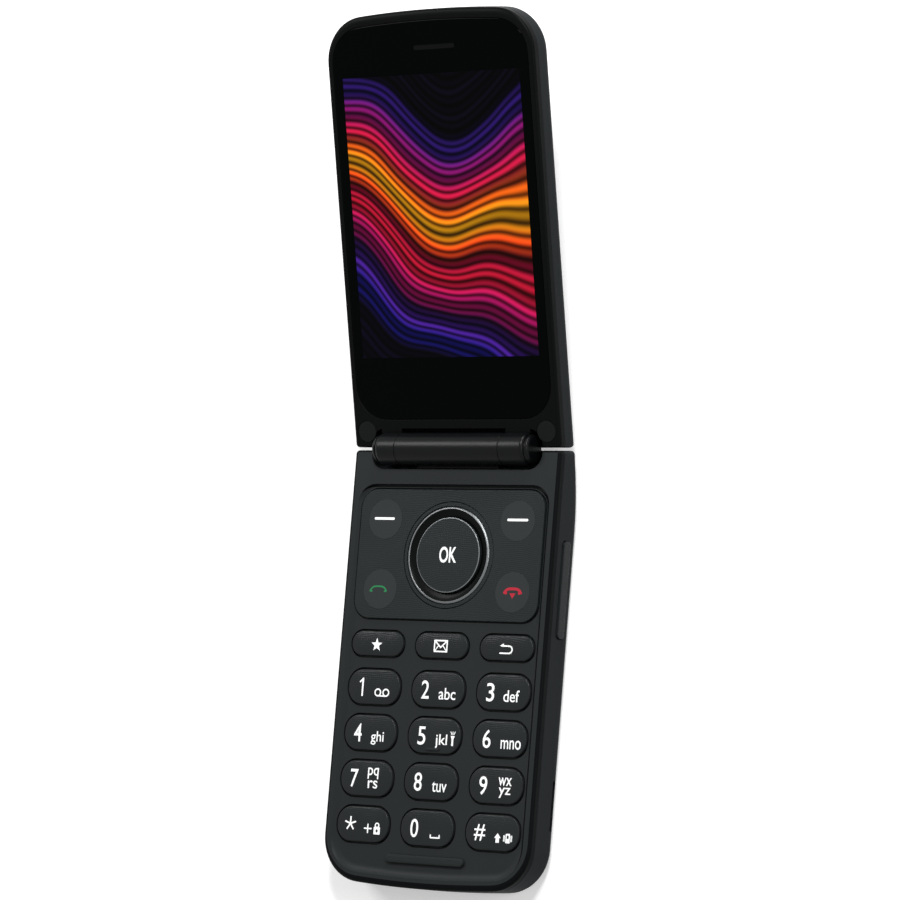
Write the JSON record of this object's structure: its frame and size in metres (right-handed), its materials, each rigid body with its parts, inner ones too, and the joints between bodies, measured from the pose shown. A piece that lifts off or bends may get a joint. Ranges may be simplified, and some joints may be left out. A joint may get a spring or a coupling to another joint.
{
  "type": "flip phone",
  "caption": "Flip phone open at its stop, with number keys, round navigation ring, barrel hinge, tall display and side volume rocker.",
  "frame": {"origin": "centre of the flat rear face of the base, the face the phone lies on", "axes": "+X across the phone towards the volume rocker, +Y from the bottom end of the keypad towards the lid, +Z out of the keypad face"},
  "size_m": [0.0575, 0.2, 0.0372],
  "materials": {
    "front_housing_plastic": "fine satin texture",
    "rear_housing_plastic": "matte",
    "satin_trim": "satin to polished",
    "keypad_plastic": "fine texture",
    "black_rubber": "matte",
    "black_glass": "polished",
    "clear_lens": "clear",
    "inner_metal": "plain",
    "circuit_board": "solder mask",
    "inner_plastic": "plain",
    "display": "lit display"
  },
  "bodies": {
    "base": {"base_front_housing": "front_housing_plastic", "base_rear_housing": "rear_housing_plastic", "battery_cover": "rear_housing_plastic", "battery": "inner_plastic", "main_board": "circuit_board", "dome_sheet": "inner_metal", "keypad_mat": "black_rubber", "nav_panel": "keypad_plastic", "bumper_bar": "black_rubber", "usb_connector": "inner_metal", "loudspeaker": "inner_plastic", "microphone": "inner_metal", "vibration_motor": "inner_metal", "card_reader": "inner_metal", "shield_cans": "inner_metal", "antenna": "inner_plastic", "base_screws": "inner_metal", "hinge_barrel": "satin_trim", "hinge_shaft": "inner_metal", "volume_switch": "inner_plastic"},
    "lid": {"lid_front_housing": "front_housing_plastic", "lid_rear_cover": "rear_housing_plastic", "display_lens": "black_glass", "display_panel": "display", "display_frame": "inner_metal", "lid_board": "circuit_board", "outer_lens": "black_glass", "outer_display": "display", "camera_module": "inner_plastic", "camera_window": "black_glass", "flash_lens": "clear_lens", "earpiece": "inner_plastic", "magnet": "inner_metal", "screw_plugs": "black_rubber", "lid_screws": "inner_metal", "knuckle_caps": "satin_trim", "hinge_cam_set": "inner_metal"},
    "volume_rocker": {"volume_rocker": "rear_housing_plastic"},
    "nav_gimbal": {"nav_gimbal": "black_rubber"},
    "nav_ring": {"nav_ring": "satin_trim"},
    "key_1": {"key_1": "keypad_plastic"},
    "key_2": {"key_2": "keypad_plastic"},
    "key_3": {"key_3": "keypad_plastic"},
    "key_4": {"key_4": "keypad_plastic"},
    "key_5": {"key_5": "keypad_plastic"},
    "key_6": {"key_6": "keypad_plastic"},
    "key_7": {"key_7": "keypad_plastic"},
    "key_8": {"key_8": "keypad_plastic"},
    "key_9": {"key_9": "keypad_plastic"},
    "key_star": {"key_star": "keypad_plastic"},
    "key_0": {"key_0": "keypad_plastic"},
    "key_hash": {"key_hash": "keypad_plastic"},
    "key_favourites": {"key_favourites": "keypad_plastic"},
    "key_message": {"key_message": "keypad_plastic"},
    "key_back": {"key_back": "keypad_plastic"},
    "key_soft_left": {"key_soft_left": "keypad_plastic"},
    "key_soft_right": {"key_soft_right": "keypad_plastic"},
    "key_call": {"key_call": "keypad_plastic"},
    "key_end": {"key_end": "keypad_plastic"},
    "key_ok": {"key_ok": "keypad_plastic"}
  },
  "joints": [
    {"name": "lid_hinge", "type": "hinge", "parent": "base", "child": "lid", "pos_m": [0, 0.05075, 0.01075], "axis": [1, 0, 0], "range_deg": [0, 164.6]},
    {"name": "key_1_press", "type": "slide", "parent": "base", "child": "key_1", "axis": [0, 0, -1], "range_m": [0, 0.0003], "stiffness_N_per_m": 4000},
    {"name": "key_2_press", "type": "slide", "parent": "base", "child": "key_2", "axis": [0, 0, -1], "range_m": [0, 0.0003], "stiffness_N_per_m": 4000},
    {"name": "key_3_press", "type": "slide", "parent": "base", "child": "key_3", "axis": [0, 0, -1], "range_m": [0, 0.0003], "stiffness_N_per_m": 4000},
    {"name": "key_4_press", "type": "slide", "parent": "base", "child": "key_4", "axis": [0, 0, -1], "range_m": [0, 0.0003], "stiffness_N_per_m": 4000},
    {"name": "key_5_press", "type": "slide", "parent": "base", "child": "key_5", "axis": [0, 0, -1], "range_m": [0, 0.0003], "stiffness_N_per_m": 4000},
    {"name": "key_6_press", "type": "slide", "parent": "base", "child": "key_6", "axis": [0, 0, -1], "range_m": [0, 0.0003], "stiffness_N_per_m": 4000},
    {"name": "key_7_press", "type": "slide", "parent": "base", "child": "key_7", "axis": [0, 0, -1], "range_m": [0, 0.0003], "stiffness_N_per_m": 4000},
    {"name": "key_8_press", "type": "slide", "parent": "base", "child": "key_8", "axis": [0, 0, -1], "range_m": [0, 0.0003], "stiffness_N_per_m": 4000},
    {"name": "key_9_press", "type": "slide", "parent": "base", "child": "key_9", "axis": [0, 0, -1], "range_m": [0, 0.0003], "stiffness_N_per_m": 4000},
    {"name": "key_star_press", "type": "slide", "parent": "base", "child": "key_star", "axis": [0, 0, -1], "range_m": [0, 0.0003], "stiffness_N_per_m": 4000},
    {"name": "key_0_press", "type": "slide", "parent": "base", "child": "key_0", "axis": [0, 0, -1], "range_m": [0, 0.0003], "stiffness_N_per_m": 4000},
    {"name": "key_hash_press", "type": "slide", "parent": "base", "child": "key_hash", "axis": [0, 0, -1], "range_m": [0, 0.0003], "stiffness_N_per_m": 4000},
    {"name": "key_favourites_press", "type": "slide", "parent": "base", "child": "key_favourites", "axis": [0, 0, -1], "range_m": [0, 0.0003], "stiffness_N_per_m": 4000},
    {"name": "key_message_press", "type": "slide", "parent": "base", "child": "key_message", "axis": [0, 0, -1], "range_m": [0, 0.0003], "stiffness_N_per_m": 4000},
    {"name": "key_back_press", "type": "slide", "parent": "base", "child": "key_back", "axis": [0, 0, -1], "range_m": [0, 0.0003], "stiffness_N_per_m": 4000},
    {"name": "key_soft_left_press", "type": "slide", "parent": "base", "child": "key_soft_left", "axis": [0, 0, -1], "range_m": [0, 0.0003], "stiffness_N_per_m": 4000},
    {"name": "key_soft_right_press", "type": "slide", "parent": "base", "child": "key_soft_right", "axis": [0, 0, -1], "range_m": [0, 0.0003], "stiffness_N_per_m": 4000},
    {"name": "key_call_press", "type": "slide", "parent": "base", "child": "key_call", "axis": [0, 0, -1], "range_m": [0, 0.0003], "stiffness_N_per_m": 4000},
    {"name": "key_end_press", "type": "slide", "parent": "base", "child": "key_end", "axis": [0, 0, -1], "range_m": [0, 0.0003], "stiffness_N_per_m": 4000},
    {"name": "key_ok_press", "type": "slide", "parent": "base", "child": "key_ok", "axis": [0, 0, -1], "range_m": [0, 0.0003], "stiffness_N_per_m": 4000},
    {"name": "nav_rock_left_right", "type": "hinge", "parent": "base", "child": "nav_gimbal", "pos_m": [0, 0.02618, 0.00775], "axis": [0, 1, 0], "range_deg": [-1.1, 1.1], "stiffness_Nm_per_rad": 0.63},
    {"name": "nav_rock_up_down", "type": "hinge", "parent": "nav_gimbal", "child": "nav_ring", "pos_m": [0, 0.02618, 0.00775], "axis": [1, 0, 0], "range_deg": [-1.1, 1.1], "stiffness_Nm_per_rad": 0.63},
    {"name": "volume_rocker_rock", "type": "hinge", "parent": "base", "child": "volume_rocker", "pos_m": [0.0268, 0.01925, 0.0052], "axis": [0, 0, 1], "range_deg": [-1, 1], "stiffness_Nm_per_rad": 0.5}
  ]
}
